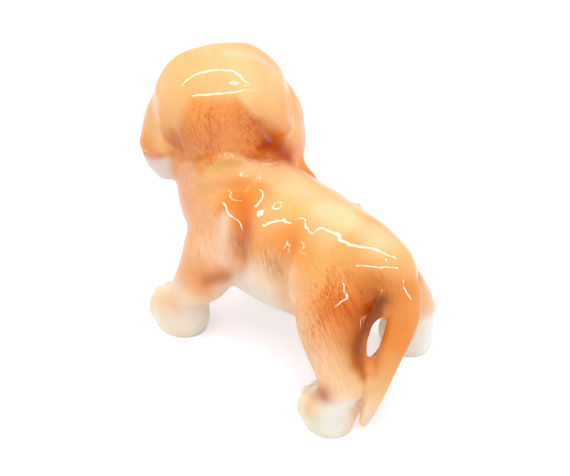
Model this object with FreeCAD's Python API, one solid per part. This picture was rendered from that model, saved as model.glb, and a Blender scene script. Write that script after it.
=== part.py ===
import FreeCAD, Part
import math
import os

# Glazed earthenware puppy, slip-cast in sections that are luted together before firing.
# Millimetres, +Z up. The puppy looks along -Y and its left side is +X. It stands on Z = 0.

Vector = FreeCAD.Vector

# Stance: how far each paw stands from the middle line and inside the ends of the trunk.
frontStanceHalfWidth = 24.0
frontPawInset = 5.0
hindStanceHalfWidth = 21.0
hindLeftPawInset = 7.5
hindRightPawInset = 16.5

# Trunk, from the rump to the neck that plugs into the head.
trunkWidth = 38.0
trunkHeight = 40.0
trunkLength = 76.0
trunkMiddleHeight = 32.5
neckRise = 26.0
castWall = 3.0
ventBore = 4.0

# Skull, brow, eyes, muzzle, jowls and cheeks. The rise is from the top of the neck.
skullWidth = 39.0
skullHeight = 36.0
skullLength = 37.0
headRise = 8.2
headInset = 1.5
headSideStep = 2.0
headTurnDegrees = 40.0
headNodDegrees = 28.0
browSize = 10.0
eyeSize = 5.6
muzzleWidth = 21.0
muzzleHeight = 16.0
muzzleLength = 19.0
jowlSize = 12.0
cheekSize = 17.0
cheekDrop = 17.0
cheekSideStep = 14.0
cheekReach = 6.0
noseSize = 6.0

# Ears.
earLength = 34.0
earWidth = 21.0
earThickness = 9.0
earFlareDegrees = 30.0
earSwing = 6.0

# Front legs and paws. A joint's rise is from the trunk's middle height.
frontPawLength = 20.0
frontPawWidth = 17.0
frontPawHeight = 12.5
frontLegThickness = 14.0
shoulderWidth = 17.0
shoulderLength = 23.0
shoulderRise = 17.0
shoulderHalfWidth = 6.0
shoulderInset = 15.0

# Hind legs and paws.
hindPawLength = 17.0
hindPawWidth = 15.0
hindPawHeight = 12.0
hindLegThickness = 13.4
haunchWidth = 18.6
haunchLength = 25.0
hipRise = 14.5
hipHalfWidth = 7.0
hipLeftInset = 12.0
hipRightInset = 22.5
leftBendShare = 1.0
rightBendShare = 0.5

# Toes.
toeCount = 4
toeWidth = 5.4
toeStandOut = 0.9
toeSpreadDegrees = 30.0

# Tail, and the thin web that joins it to the left haunch, with a pierced gap.
tailThickness = 9.0
tailRootRise = 13.5
tailRootInset = 5.5
tailTipHeight = 3.5
tailBulge = 9.0
tailSideStep = 17.5
webThickness = 3.6
webWidth = 15.0
webFootRise = 1.0
webRootDrop = 0.8
webSlantDegrees = 20.0
gapWidth = 6.0
gapLength = 14.0
gapRise = 5.4
gapTurnDegrees = 35.0

ringPoints = 12
overrun = 4.0

# Rows of the trunk, rump first: along, rise of the middle, tilt in degrees, half width, half height
# above and below, and how far the hollow's end moves in. All but the tilt are shares.
trunkStationShares = (
    (0.000, 0.33, 0.0, 0.23, 0.25, 0.25, 1.0),
    (0.031, 0.31, 0.0, 0.41, 0.43, 0.43, 0.8),
    (0.094, 0.27, 0.0, 0.57, 0.58, 0.53, 0.5),
    (0.200, 0.15, 0.0, 0.75, 0.80, 0.70, 0.0),
    (0.338, 0.06, 0.0, 0.93, 0.92, 0.92, 0.0),
    (0.525, 0.00, 0.0, 1.00, 0.99, 1.02, 0.0),
    (0.688, 0.00, 0.0, 1.03, 1.02, 1.12, 0.0),
    (0.812, 0.10, 14.0, 1.08, 0.98, 1.22, 0.0),
    (0.925, 0.33, 35.0, 1.06, 0.88, 1.10, 0.0),
    (0.981, 0.67, 56.0, 0.99, 0.75, 0.88, 0.0),
    (1.000, 1.05, 68.0, 0.80, 0.68, 0.58, 0.0),
)

# Rows of the muzzle from inside the skull: reach, drop, half width and half height.
muzzleStationShares = (
    (0.00, 0.00, 0.80, 0.85),
    (0.35, 0.08, 0.96, 0.98),
    (0.65, 0.16, 1.00, 1.00),
    (0.88, 0.21, 0.94, 0.94),
    (0.98, 0.24, 0.76, 0.76),
    (1.02, 0.25, 0.42, 0.42),
)

# Rows of an ear from its root down: drop, outward step, half width and half thickness.
earStationShares = (
    (0.00, -0.30, 0.30, 0.40),
    (0.08, -0.05, 0.62, 0.75),
    (0.25, 0.35, 0.88, 0.95),
    (0.50, 0.80, 1.00, 1.00),
    (0.76, 1.06, 1.02, 0.98),
    (0.94, 1.08, 0.86, 0.80),
    (1.00, 1.00, 0.40, 0.40),
)
earRootSideShare = 0.66
earRootHeightShare = 0.58

# Places on the face, sideways, forwards and up: brow and eye as shares of the skull, jowl and nose as
# shares of the muzzle.
browPlaceShares = (0.19, 0.31, 0.25)
eyePlaceShares = (0.22, 0.41, 0.15)
jowlPlaceShares = (0.24, 0.55, -0.60)
nosePlaceShares = (0.0, 0.98, -0.14)
jowlReachShare = 0.66
noseReachShare = 0.40
muzzleRootShare = 0.33
muzzleDropShare = 0.20
cheekHeightShare = 0.45
toeHeightShare = 0.42

# Place of the web on the tail, sideways and backwards.
webPlaceShares = (0.64, 0.433)

# Places that several pieces share. The trunk's middle is over Y = 0 until the figure is centred.
rumpReach = trunkLength / 2
neckReach = -trunkLength / 2
neckTopHeight = trunkMiddleHeight + neckRise * trunkStationShares[-1][1]
headHeight = neckTopHeight + headRise
tailRootHeight = trunkMiddleHeight + tailRootRise
tailRootReach = rumpReach - tailRootInset
webTopHeight = tailRootHeight - webRootDrop
webLength = (webTopHeight - webFootRise) / math.cos(math.radians(webSlantDegrees))

# Rows of a paw from the sole up: height, backward step, half width and half length.
pawStationShares = (
    (0.00, 0.00, 0.84, 0.86),
    (0.14, 0.00, 0.97, 0.98),
    (0.42, 0.00, 1.00, 1.00),
    (0.76, 0.04, 0.93, 0.87),
    (1.00, 0.16, 0.84, 0.69),
)

# Rows of a leg above the paw: height, lean from the foot to the joint, backward step, blend from the
# leg's thickness to the size of the shoulder or haunch, half width and half length.
frontLegStationShares = (
    (0.33, 0.07, 0.310, 0.00, 1.00, 1.28),
    (0.45, 0.17, 0.400, 0.05, 1.05, 1.42),
    (0.57, 0.30, 0.340, 0.40, 0.98, 1.18),
    (0.71, 0.50, 0.215, 1.00, 1.00, 1.00),
    (0.87, 0.75, 0.110, 1.00, 0.90, 0.96),
    (1.00, 1.00, 0.000, 1.00, 0.55, 0.62),
)
hindLegStationShares = (
    (0.33, 0.03, 0.330, 0.00, 1.00, 0.92),
    (0.41, 0.10, 0.240, 0.12, 1.00, 0.98),
    (0.53, 0.28, -0.130, 0.50, 0.98, 1.14),
    (0.68, 0.55, -0.330, 1.00, 0.92, 1.02),
    (0.85, 0.82, -0.310, 1.00, 0.72, 0.92),
    (1.00, 1.20, -0.200, 1.00, 0.22, 0.42),
)

# Rows of the tail from root to tip: drop, backward bulge, sideways step and thickness.
tailStationShares = (
    (0.00, 0.00, 0.00, 1.15),
    (0.10, 0.55, 0.04, 1.10),
    (0.18, 0.84, 0.12, 1.04),
    (0.28, 0.98, 0.23, 0.98),
    (0.40, 1.01, 0.37, 0.90),
    (0.53, 1.00, 0.54, 0.78),
    (0.67, 0.99, 0.69, 0.70),
    (0.81, 0.96, 0.83, 0.64),
    (0.92, 0.93, 0.95, 0.50),
    (1.00, 0.90, 1.00, 0.28),
)


def ring(middle, across, upward, halfAcross, halfUp, halfDown):
    """The control points of one rounded outline round a middle point."""
    pull = (2 + math.cos(2 * math.pi / ringPoints)) / 3
    points = []
    for step in range(ringPoints):
        angle = 2 * math.pi * step / ringPoints
        rise = halfUp if math.sin(angle) > 0 else halfDown
        side = across * (halfAcross * math.cos(angle))
        points.append(middle + (side + upward * (rise * math.sin(angle))) * (1 / pull))
    return points


def loft(rings):
    """A closed solid whose skin follows the rings, with a flat end at the first and the last."""
    spans = len(rings) - 3
    surface = Part.BSplineSurface()
    surface.buildFromPolesMultsKnots(rings, [4] + [1] * (spans - 1) + [4], [1] * (ringPoints + 1),
                                     list(range(spans + 1)), list(range(ringPoints + 1)),
                                     False, True, 3, 3)
    faces = [surface.toShape()]
    for end in (0, spans):
        faces.append(Part.Face(Part.Wire([surface.uIso(end).toShape()])))
    shell = Part.Compound(faces)
    shell.sewShape()
    solid = Part.Solid(shell.Shells[0])
    if solid.Volume < 0:
        solid.reverse()
    return solid


def blob(middle, halfX, halfY, halfZ):
    """An egg-shaped lump with three half sizes."""
    stretch = FreeCAD.Matrix()
    stretch.scale(halfX, halfY, halfZ)
    lump = Part.makeSphere(1).transformGeometry(stretch)
    lump.translate(middle)
    return lump


def trunkLoft(inset, neckOverrun):
    """The trunk's skin, or with an inset the hollow inside it."""
    rings = []
    for along, rise, tilt, wide, above, below, endShare in trunkStationShares:
        lean = math.radians(tilt)
        upward = Vector(0, math.sin(lean), math.cos(lean))
        forward = Vector(0, -math.cos(lean), math.sin(lean))
        middle = Vector(0, rumpReach - trunkLength * along, trunkMiddleHeight + neckRise * rise)
        middle = middle + forward * (inset * endShare)
        if along == trunkStationShares[-1][0]:
            middle = middle + forward * neckOverrun
        rings.append(ring(middle, Vector(1, 0, 0), upward,
                          trunkWidth / 2 * wide - inset,
                          trunkHeight / 2 * above - inset,
                          trunkHeight / 2 * below - inset))
    return loft(rings)


def headPlacement(nodDegrees):
    """Turns and nods a shape made round the skull's middle, and sets it over the neck."""
    turn = FreeCAD.Rotation(Vector(0, 0, 1), -headTurnDegrees)
    nod = FreeCAD.Rotation(Vector(1, 0, 0), nodDegrees)
    return FreeCAD.Placement(Vector(headSideStep, neckReach + headInset, headHeight), turn * nod)


def headSkin():
    skull = (skullWidth, skullLength, skullHeight)
    shape = blob(Vector(0, 0, 0), skullWidth / 2, skullLength / 2, skullHeight / 2)
    root = -skullLength * muzzleRootShare
    rings = []
    for reach, drop, wide, high in muzzleStationShares:
        middle = Vector(0, root - muzzleLength * reach, -muzzleHeight * (muzzleDropShare + drop))
        rings.append(ring(middle, Vector(1, 0, 0), Vector(0, 0, 1),
                          muzzleWidth / 2 * wide, muzzleHeight / 2 * high, muzzleHeight / 2 * high))
    shape = shape.fuse(loft(rings))
    for side in (1, -1):
        for size, shares in ((browSize, browPlaceShares), (eyeSize, eyePlaceShares)):
            place = Vector(side * skull[0] * shares[0], -skull[1] * shares[1], skull[2] * shares[2])
            shape = shape.fuse(blob(place, size / 2, size / 2, size / 2))
        jowl = Vector(side * muzzleWidth * jowlPlaceShares[0], root - muzzleLength * jowlPlaceShares[1],
                      muzzleHeight * jowlPlaceShares[2])
        shape = shape.fuse(blob(jowl, jowlSize / 2, jowlSize * jowlReachShare, jowlSize / 2))
    nose = Vector(0, root - muzzleLength * nosePlaceShares[1], muzzleHeight * nosePlaceShares[2])
    shape = shape.fuse(blob(nose, noseSize / 2, noseSize * noseReachShare, noseSize * noseReachShare))
    shape.Placement = headPlacement(headNodDegrees)
    level = headPlacement(0)
    for side in (1, -1):
        cheek = blob(Vector(side * cheekSideStep, -cheekReach, -cheekDrop),
                     cheekSize / 2, cheekSize / 2, cheekSize * cheekHeightShare)
        cheek.Placement = level
        shape = shape.fuse(cheek)
    return shape


def earSkin(side):
    """One hanging ear; side is 1 for the left and -1 for the right."""
    flare = FreeCAD.Rotation(Vector(0, 0, 1), side * earFlareDegrees)
    faceOut = flare.multVec(Vector(side, 0, 0))
    along = flare.multVec(Vector(0, -1, 0))
    root = Vector(side * skullWidth / 2 * earRootSideShare, 0, skullHeight / 2 * earRootHeightShare)
    rings = []
    for drop, step, wide, thick in earStationShares:
        middle = root + Vector(side * earSwing * step, 0, -earLength * drop)
        rings.append(ring(middle, along, faceOut, earWidth / 2 * wide,
                          earThickness / 2 * thick, earThickness / 2 * thick))
    shape = loft(rings)
    shape.Placement = headPlacement(0)
    return shape


def legSkin(foot, joint, paw, thickness, top, stations, bendShare):
    """A leg with its paw, from the foot to the joint in the trunk."""
    pawWidth, pawLength, pawHeight = paw
    topWidth, topLength = top
    rings = []
    for height, back, wide, long in pawStationShares:
        middle = foot + Vector(0, pawLength * back, pawHeight * height)
        rings.append(ring(middle, Vector(1, 0, 0), Vector(0, -1, 0),
                          pawWidth / 2 * wide, pawLength / 2 * long, pawLength / 2 * long))
    for height, lean, back, blend, wide, long in stations:
        middle = foot + Vector(joint.x - foot.x, joint.y - foot.y, 0) * lean
        middle = middle + Vector(0, pawLength * back * bendShare, joint.z * height)
        halfWidth = (thickness + (topWidth - thickness) * blend) / 2 * wide
        halfLength = (thickness + (topLength - thickness) * blend) / 2 * long
        rings.append(ring(middle, Vector(1, 0, 0), Vector(0, -1, 0), halfWidth, halfLength, halfLength))
    shape = loft(rings)
    for step in range(toeCount):
        angle = math.radians(toeSpreadDegrees * (step - (toeCount - 1) / 2))
        reach = Vector(math.sin(angle) * (pawWidth / 2 + toeStandOut - toeWidth / 2),
                       -math.cos(angle) * (pawLength / 2 + toeStandOut - toeWidth / 2),
                       pawHeight * toeHeightShare)
        toe = blob(foot + reach, toeWidth / 2, toeWidth / 2, pawHeight * toeHeightShare)
        shape = shape.fuse(toe)
    return shape


def tailSkin():
    rings = []
    for drop, bulge, step, thick in tailStationShares:
        middle = Vector(tailSideStep * step, tailRootReach + tailBulge * bulge,
                        tailRootHeight - (tailRootHeight - tailTipHeight) * drop)
        half = tailThickness / 2 * thick
        rings.append(ring(middle, Vector(1, 0, 0), Vector(0, -1, 0), half, half, half))
    return loft(rings)


def webPlacement():
    """The middle of the web, between tail and haunch, and its slant."""
    middle = Vector(tailSideStep * webPlaceShares[0], tailRootReach + tailBulge * webPlaceShares[1],
                    (webTopHeight + webFootRise) / 2)
    return FreeCAD.Placement(middle, FreeCAD.Rotation(Vector(0, 1, 0), -webSlantDegrees))


def webPlate():
    """The thin wall between tail and haunch, pierced by a round-ended gap."""
    plate = blob(Vector(0, 0, 0), webWidth / 2, webThickness / 2, webLength / 2)
    plate.Placement = webPlacement()
    return plate.cut(gapCutter())


def gapCutter():
    straight = gapLength - gapWidth
    reach = webThickness + 2 * overrun
    slot = Part.makeBox(gapWidth, reach, straight)
    slot.translate(Vector(-gapWidth / 2, -reach / 2, -straight / 2))
    for end in (-straight / 2, straight / 2):
        slot = slot.fuse(Part.makeCylinder(gapWidth / 2, reach, Vector(0, -reach / 2, end), Vector(0, 1, 0)))
    turn = FreeCAD.Placement(Vector(0, 0, gapRise), FreeCAD.Rotation(Vector(0, 0, 1), -gapTurnDegrees))
    slot.Placement = webPlacement() * turn
    return slot


os.makedirs("parts", exist_ok=True)

trunkSkin = trunkLoft(0, 0)
vent = Part.makeCylinder(ventBore / 2, trunkMiddleHeight)
headShape = headSkin()
headHollow = blob(Vector(0, 0, 0), skullWidth / 2 - castWall, skullLength / 2 - castWall,
                  skullHeight / 2 - castWall)
headHollow.Placement = headPlacement(headNodDegrees)

solids = {}
solids["torso"] = trunkSkin.cut(trunkLoft(castWall, overrun)).cut(vent)
solids["head"] = headShape.cut(trunkSkin).cut(headHollow)
solids["left_ear"] = earSkin(1).cut(headShape).cut(trunkSkin)
solids["right_ear"] = earSkin(-1).cut(headShape).cut(trunkSkin)

frontPaw = (frontPawWidth, frontPawLength, frontPawHeight)
hindPaw = (hindPawWidth, hindPawLength, hindPawHeight)
for side, word, pawInset, hipInset, bendShare in (
        (1, "left", hindLeftPawInset, hipLeftInset, leftBendShare),
        (-1, "right", hindRightPawInset, hipRightInset, rightBendShare)):
    frontFoot = Vector(side * frontStanceHalfWidth, neckReach + frontPawInset, 0)
    shoulder = Vector(side * shoulderHalfWidth, neckReach + shoulderInset, trunkMiddleHeight + shoulderRise)
    front = legSkin(frontFoot, shoulder, frontPaw, frontLegThickness,
                    (shoulderWidth, shoulderLength), frontLegStationShares, leftBendShare)
    hindFoot = Vector(side * hindStanceHalfWidth, rumpReach - pawInset, 0)
    hip = Vector(side * hipHalfWidth, rumpReach - hipInset, trunkMiddleHeight + hipRise)
    hind = legSkin(hindFoot, hip, hindPaw, hindLegThickness,
                   (haunchWidth, haunchLength), hindLegStationShares, bendShare)
    solids["front_" + word + "_leg"] = front.cut(trunkSkin)
    solids["hind_" + word + "_leg"] = hind.cut(trunkSkin)

tail = tailSkin().fuse(webPlate())
solids["tail"] = tail.cut(trunkSkin).cut(solids["hind_left_leg"])

# The origin is under the middle of the whole figure.
extent = Part.Compound(list(solids.values())).optimalBoundingBox(False)
for name, shape in solids.items():
    shape.translate(Vector(-extent.Center.x, -extent.Center.y, 0))
    shape.exportStep("parts/" + name + ".step")
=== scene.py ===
import bpy
import bmesh
import math
import numpy as np
from mathutils import Matrix, Vector
from mathutils.bvhtree import BVHTree


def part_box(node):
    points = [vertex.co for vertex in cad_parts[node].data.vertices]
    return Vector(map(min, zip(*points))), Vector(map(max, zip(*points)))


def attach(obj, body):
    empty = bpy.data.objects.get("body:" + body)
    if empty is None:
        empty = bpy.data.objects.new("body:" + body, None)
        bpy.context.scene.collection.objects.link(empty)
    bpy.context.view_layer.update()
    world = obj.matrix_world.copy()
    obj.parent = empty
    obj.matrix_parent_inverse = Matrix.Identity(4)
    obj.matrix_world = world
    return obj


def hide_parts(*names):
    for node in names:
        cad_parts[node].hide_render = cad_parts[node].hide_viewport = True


# A small glazed earthenware puppy: nine luted clay pieces under one clear glaze.
# The dictionaries are in millimetres, degrees and watts. Blender's own scene is in metres.

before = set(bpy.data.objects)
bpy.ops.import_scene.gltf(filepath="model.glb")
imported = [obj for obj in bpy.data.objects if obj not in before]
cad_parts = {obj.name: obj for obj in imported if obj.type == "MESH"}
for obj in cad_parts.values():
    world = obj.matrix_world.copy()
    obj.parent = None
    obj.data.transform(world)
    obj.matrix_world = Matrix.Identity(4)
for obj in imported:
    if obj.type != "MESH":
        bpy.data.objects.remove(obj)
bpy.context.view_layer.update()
mm = 0.001
nodeNames = sorted(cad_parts)


# sRGB hex to the linear values that a shader takes.
def linear(hexColour):
    channels = [int(hexColour[i:i + 2], 16) / 255 for i in (0, 2, 4)]
    return [c / 12.92 if c <= 0.04045 else ((c + 0.055) / 1.055) ** 2.4 for c in channels]


# A soft step from 0 at the first value to 1 at the second, which may be the lower one.
def smoothStep(start, end, value):
    t = np.clip((value - start) / (end - start), 0, 1)
    return t * t * (3 - 2 * t)


# The clay skin over all nine pieces.
skin = {
    "quad": 0.5,  # side of its small quads
    "weld": 0.001, "unionWeld": 0.0001,  # points closer than this become one
    "evenRounds": 3,  # brush rounds over the fresh quads
    "jointStart": 0.6, "jointReach": 4.2,  # how far from the second piece a joint is rounded off
    "jointRounds": 48, "jointEase": 6, "lastEase": 10,
    "brushRounds": 8, "brushForce": 0.6, "proudShare": 0.12,  # what stands proud gives way this little
    "polish": 16, "polishIn": 0.5, "polishOut": -0.52,  # in and out again, so that nothing shrinks
    "measureReach": 6.0,  # how far each point looks for the pieces
    "ownerRounds": 10,  # how smooth the lines between the pieces are
    "soleTop": 0.6, "soleEdge": (0.9, 0.25), "soleHeight": 0.02,  # below the top the sole is flattened
}
# The vent in the belly lets the air out of the hollow trunk in the kiln.
vent = {"place": (0.0, 7.33, 16.3), "plug": 3.4, "radius": 2.0, "rimShare": 0.75, "depth": 5.0, "below": 16}


# Points and triangles of a merged copy of one CAD piece.
def cadFaces(name):
    bm = bmesh.new()
    bm.from_mesh(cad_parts[name].data)
    bmesh.ops.remove_doubles(bm, verts=bm.verts, dist=skin["weld"] * mm)
    bmesh.ops.triangulate(bm, faces=bm.faces)
    corners = [v.co.copy() for v in bm.verts]
    faces = [[v.index for v in f.verts] for f in bm.faces]
    bm.free()
    return corners, faces


# All the luted pieces as one closed skin of small quads. A plug closes the vent for the while.
def clayUnion():
    bm = bmesh.new()
    for name in nodeNames:
        bm.from_mesh(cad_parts[name].data)
    bmesh.ops.remove_doubles(bm, verts=bm.verts, dist=skin["unionWeld"] * mm)
    plug = Matrix.Translation(Vector(vent["place"]) * mm)
    bmesh.ops.create_uvsphere(bm, u_segments=24, v_segments=12, radius=vent["plug"] * mm, matrix=plug)
    mesh = bpy.data.meshes.new("clayUnion")
    bm.to_mesh(mesh)
    bm.free()
    union = bpy.data.objects.new("clayUnion", mesh)
    bpy.context.scene.collection.objects.link(union)
    remesh = union.modifiers.new("remesh", "REMESH")
    remesh.mode = "VOXEL"
    remesh.voxel_size = skin["quad"] * mm
    graph = bpy.context.evaluated_depsgraph_get()
    made = bpy.data.meshes.new_from_object(union.evaluated_get(graph))
    places = np.empty(len(made.vertices) * 3)
    made.vertices.foreach_get("co", places)
    quads = np.array([list(p.vertices) for p in made.polygons if len(p.vertices) == 4])
    edges = np.array([list(e.vertices) for e in made.edges])
    bpy.data.objects.remove(union)
    bpy.data.meshes.remove(mesh)
    bpy.data.meshes.remove(made)
    print("clay union:", len(places) // 3, "points,", len(quads), "quads")
    return places.reshape(-1, 3) / mm, quads, edges


# Keeps the outer skin and drops the walls of the hollows, which are islands of their own.
def largestIsland(points, quads, edges):
    count = len(points)
    label = np.arange(count)
    # Each point takes its neighbours' lowest number, until an island has one number throughout.
    while True:
        low = np.minimum(label[edges[:, 0]], label[edges[:, 1]])
        fresh = label.copy()
        np.minimum.at(fresh, edges[:, 0], low)
        np.minimum.at(fresh, edges[:, 1], low)
        fresh = fresh[fresh]
        fresh = fresh[fresh]
        if (fresh == label).all():
            break
        label = fresh
    keep = label == np.bincount(label).argmax()
    number = np.cumsum(keep) - 1
    print("outer skin:", keep.sum(), "of", count, "points")
    return points[keep], number[quads[keep[quads[:, 0]]]], number[edges[keep[edges[:, 0]]]]


# Moves each value towards the mean of its neighbours. The weights are one number or one for each point.
def spread(values, edges, weights, rounds, push=0.5):
    least = 0.004  # what weighs less stays as it is
    if not np.isscalar(weights):
        active = weights[:, 0] > least
        edges = edges[active[edges[:, 0]] | active[edges[:, 1]]]
    used, ends = np.unique(edges, return_inverse=True)
    ends = ends.reshape(edges.shape)
    one = ends[:, 0]
    other = ends[:, 1]
    count = len(used)
    number = np.bincount(one, minlength=count) + np.bincount(other, minlength=count)
    number = np.maximum(number, 1)[:, None]
    part = values[used]
    force = push if np.isscalar(weights) else push * weights[used] * (weights[used] > least)
    for _ in range(rounds):
        total = np.empty_like(part)
        for axis in range(part.shape[1]):
            total[:, axis] = (np.bincount(one, part[other, axis], count)
                              + np.bincount(other, part[one, axis], count))
        part += (total / number - part) * force
    values = values.copy()
    values[used] = part
    return values


def vertexNormals(points, quads):
    across = points[quads[:, 2]] - points[quads[:, 0]]
    along = points[quads[:, 3]] - points[quads[:, 1]]
    flat = np.cross(across, along)
    normals = np.zeros_like(points)
    for corner in range(4):
        for axis in range(3):
            normals[:, axis] += np.bincount(quads[:, corner], flat[:, axis], len(points))
    return normals / np.maximum(np.linalg.norm(normals, axis=1, keepdims=True), 1e-12)


# Fills hollows as slip and a wet brush do, and leaves what stands proud.
def filled(points, quads, edges, weights, rounds):
    for _ in range(0, rounds, skin["brushRounds"]):
        normals = vertexNormals(points, quads)
        moved = spread(points, edges, weights, skin["brushRounds"], skin["brushForce"]) - points
        outward = np.einsum("ij,ij->i", moved, normals)[:, None]
        points = points + np.where(outward > 0, moved, moved * skin["proudShare"])
    return points


# How far each point is from the surface of each CAD piece, up to a reach.
def nodeDistances(points, reach):
    found = np.full((len(points), len(nodeNames)), reach)
    for column, name in enumerate(nodeNames):
        tree = BVHTree.FromPolygons(*cadFaces(name))
        low, high = [np.array(corner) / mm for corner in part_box(name)]
        near = ((points > low - reach) & (points < high + reach)).all(axis=1)
        for index in np.flatnonzero(near):
            hit = tree.find_nearest(Vector(points[index]) * mm, reach * mm)
            if hit[3] is not None:
                found[index, column] = hit[3] / mm
    return found


points, quads, edges = largestIsland(*clayUnion())
distances = nodeDistances(points, skin["measureReach"])
print("distances to the pieces measured")

# The second nearest piece tells how close a joint is. Slip and a wet brush round it off.
secondNearest = np.sort(distances, axis=1)[:, 1:2]
luted = 1 - smoothStep(skin["jointStart"], skin["jointReach"], secondNearest)
points = spread(points, edges, 1, skin["evenRounds"])
points = filled(points, quads, edges, luted, skin["jointRounds"])
points = spread(points, edges, luted, skin["jointEase"])
for _ in range(skin["polish"]):
    points = spread(points, edges, 1, 1, skin["polishIn"])
    points = spread(points, edges, 1, 1, skin["polishOut"])
print("joints rounded off")

# The soles are ground flat.
height = points[:, 2]
ground = smoothStep(*skin["soleEdge"], height)
flattened = height * (1 - ground) + skin["soleHeight"] * ground
points[:, 2] = np.where(height < skin["soleTop"], flattened, height)

# Each piece has its dictionary.
# "fills" are places that the wet brush filled most: a line, its radius and the brush rounds.
# "marks" are strokes of a modelling tool: a line, the tool's radius and how far it pushes out or in.
# A mark with "right" is also on the right side, moved by that much.
# "paint" is airbrushed colour, places and the colour there, on both sides; some of these places are darker
# or paler as painted shade or painted highlight, as said there. "paintOnce" is on one side.
# "shade" is colour laid along a line: the line, its reach, strength and colour. Some of it is brushed
# pigment, and some is painted shade, painted highlight or painted reflection, as said at each.
# "strokes" tell where fur strokes lie, by their direction: middle, reach and strength.
head = {
    "middle": (2.0, -29.1, 68.0), "turn": 40.0, "nod": 28.0,
    "fills": [
        {"line": [(18.4, -24.1, 61.2), (16.0, -17.9, 64.3), (11.9, -13.9, 65.8), (6.5, -11.4, 65.4),
                  (3.4, -11.6, 62)], "radius": 4.6, "rounds": 320},
    ],
    "marks": {
        "napeGroove": {"line": [(17.0, -23.0, 61.0), (15.4, -18.4, 64.2), (11.6, -15.0, 65.4),
                                (6.6, -13.2, 63.4)], "radius": 2.4, "push": -0.6},
        "crownRight": {"line": [(-7.5, -27, 82), (-10, -22, 78)], "radius": 6.0, "push": 1.5},
        "crownLeft": {"line": [(15.0, -39, 78), (10.0, -42, 82)], "radius": 5.0, "push": 1.2},
        "hoodLeft": {"line": [(17.6, -44, 74), (19.4, -38, 74), (19.8, -32, 74)], "radius": 4.0,
                     "push": 1.0},
    },
    "paintReach": 4.2,
    "paint": {
        "crown": ((2.2, -27, 86), "fbcb8c"), "crownLeft": ((12, -33, 83), "fac784"),
        "crownRight": ((-8.9, -24.5, 82.2), "fcc28a"), "crownBack": ((11.8, -20, 80.6), "fac586"),
        "crownBackRight": ((-5.9, -14.6, 77.4), "fdc68c"), "crownMiddle": ((4, -17, 80.5), "fdcc92"),
        "behindRightEar": ((-5.0, -11.6, 69), "fbb877"), "rightEarEdge": ((1.0, -11.5, 73), "fabf80"),
        "rightEarLow": ((-8.0, -12.5, 60), "f09450"), "sideLeft": ((18.9, -27.9, 75), "fcc480"),
        # creaseLeft and creaseLeftLow are darker: painted shade in the crease behind the left ear.
        "sideLeftLow": ((20.3, -27.5, 68), "fbb772"), "creaseLeft": ((19.6, -28.5, 61), "e58a4a"),
        "creaseLeftLow": ((18.5, -28, 56), "ec9654"), "earTopLeft": ((18, -40, 74), "fccd9a"),
    },
    "shade": {
        # Painted reflection: a pale band of light along the crown's right edge.
        "crownRimReflection": {"line": [(2.0, -26.0, 85.6), (-5.2, -21.1, 83.1), (-8.4, -17.5, 78.5),
                               (-12.1, -16.7, 73.0)], "reach": 1.5, "strength": 0.45, "colour": "ffe6d4"},
    },
    "strokes": {
        "nape": [((15, -18, 72), 7.0, 1.0), ((17, -20, 64), 7.0, 1.0), ((20, -28, 62), 5.0, 0.5)],
        "slant": [((6, -12, 72), 7.0, 1.0), ((3, -11.5, 63), 7.0, 1.0), ((-4, -12, 59), 4.0, 0.4)],
    },
}
# The nape's brown lies between the crown, the left ear and the slanting rear edge of the right ear.
# Heights count from the skull's middle, bearings from straight back towards the left.
nape = {
    "paintReach": 4.6,
    "paint": {
        "top": ((11.6, -16, 78), "f6a258"), "middle": ((12.9, -14.7, 71.3), "f5a45c"),
        "left": ((18.5, -22, 71.9), "f6a456"), "right": ((4.9, -11, 70), "e58c4a"),
        "topRight": ((6.5, -13, 76.5), "eb9a56"), "low": ((16, -17.8, 64.7), "f49c50"),
        "lowMiddle": ((9.2, -12.7, 64.2), "f6aa68"), "lowRight": ((2.4, -11.2, 61.5), "df8544"),
        "foot": ((8, -14, 61.5), "f5a868"), "footLeft": ((15.5, -19.5, 62), "f6a85e"),
        "corner": ((19.6, -23.4, 65), "ea8b45"),
    },
    "topEdge": (12.8, 8.0), "frontEdge": (-4, 1), "leftEdge": (7, -8), "leftBearing": 83,
    "rightEdge": (-5, 5), "rightBearing": 24, "rightHeight": 11.5, "rightSlant": 2.15,
}
# The face is painted on. Its places are in the head's own turned and nodded frame. Each of its parts is
# laid within a distance of the eyes, the nose or the mouth, and its edge fades from outer to inner.
face = {
    "paint": {
        "forehead": ((0, -14, 12), "fdd9a8"), "brow": ((7.6, -14, 10), "f9b978"),
        "templeSide": ((15, -8, 6), "fbbd7c"), "stop": ((0, -18, 6), "fde3c0"),
        "muzzleTop": ((0, -25, 2), "feecd6"), "muzzleSide": ((9, -24, -4), "fdeedd"),
        "muzzleFront": ((5, -31, -6), "feeee0"), "chin": ((0, -24, -14), "fbe9d8"),
        "cheek": ((14, -12, -6), "fce3c6"), "underEye": ((9, -17, 0), "f8c08a"),
    },
    "eye": (8.4, -15.6, 5.2), "nose": (0.0, -31.6, -2.6),
    "mouth": [(7.0, -26, -9.5), (3.6, -30, -9.6), (0, -31.5, -7.4), (-3.6, -30, -9.6), (-7.0, -26, -9.5)],
    "lip": [(0, -31.5, -7.4), (0, -32.2, -4.6)],
    "parts": {
        "eyeRim": {"by": "eyeAway", "outer": 3.0, "inner": 2.8, "colour": "2a140a"},
        "iris": {"by": "eyeAway", "outer": 2.5, "inner": 2.35, "colour": "96501e"},
        "pupil": {"by": "eyeAway", "outer": 1.5, "inner": 1.35, "colour": "0c0806"},
        "noseTip": {"by": "noseAway", "outer": 3.7, "inner": 3.3, "colour": "16100e"},
        "mouthLine": {"by": "mouthAway", "outer": 0.5, "inner": 0.2, "colour": "7a4426"},
    },
}
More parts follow.
